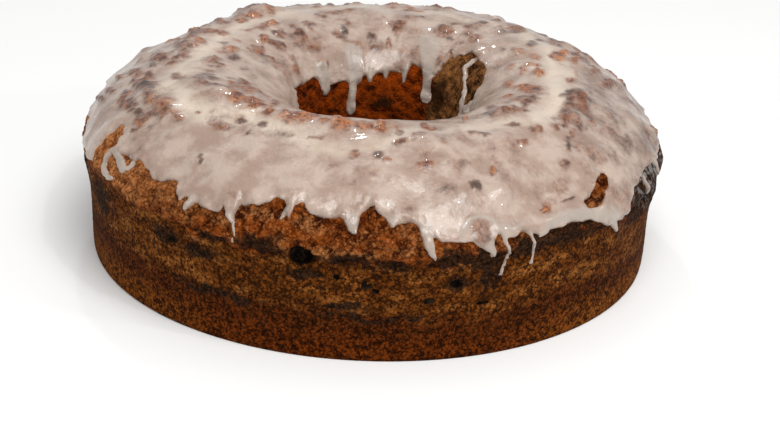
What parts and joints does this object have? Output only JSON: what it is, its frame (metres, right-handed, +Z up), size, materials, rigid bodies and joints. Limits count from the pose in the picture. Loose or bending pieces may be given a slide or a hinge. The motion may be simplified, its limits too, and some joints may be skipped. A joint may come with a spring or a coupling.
{
  "type": "ring cake",
  "caption": "Round ring cake baked in a tube pan, whole, with a cracked and craggy crown, a hole through the middle and a thin sugar glaze that runs down in drips.",
  "frame": {"origin": "middle of the flat base, at the height it rests on", "axes": "+Z up out of the crown, -Y towards the front that the picture shows, +X to the picture's right"},
  "size_m": [0.2519, 0.2504, 0.0828],
  "materials": {
    "crust": null,
    "glaze": null
  },
  "bodies": {
    "root": {"cake": "crust", "glaze": "glaze"}
  },
  "joints": []
}
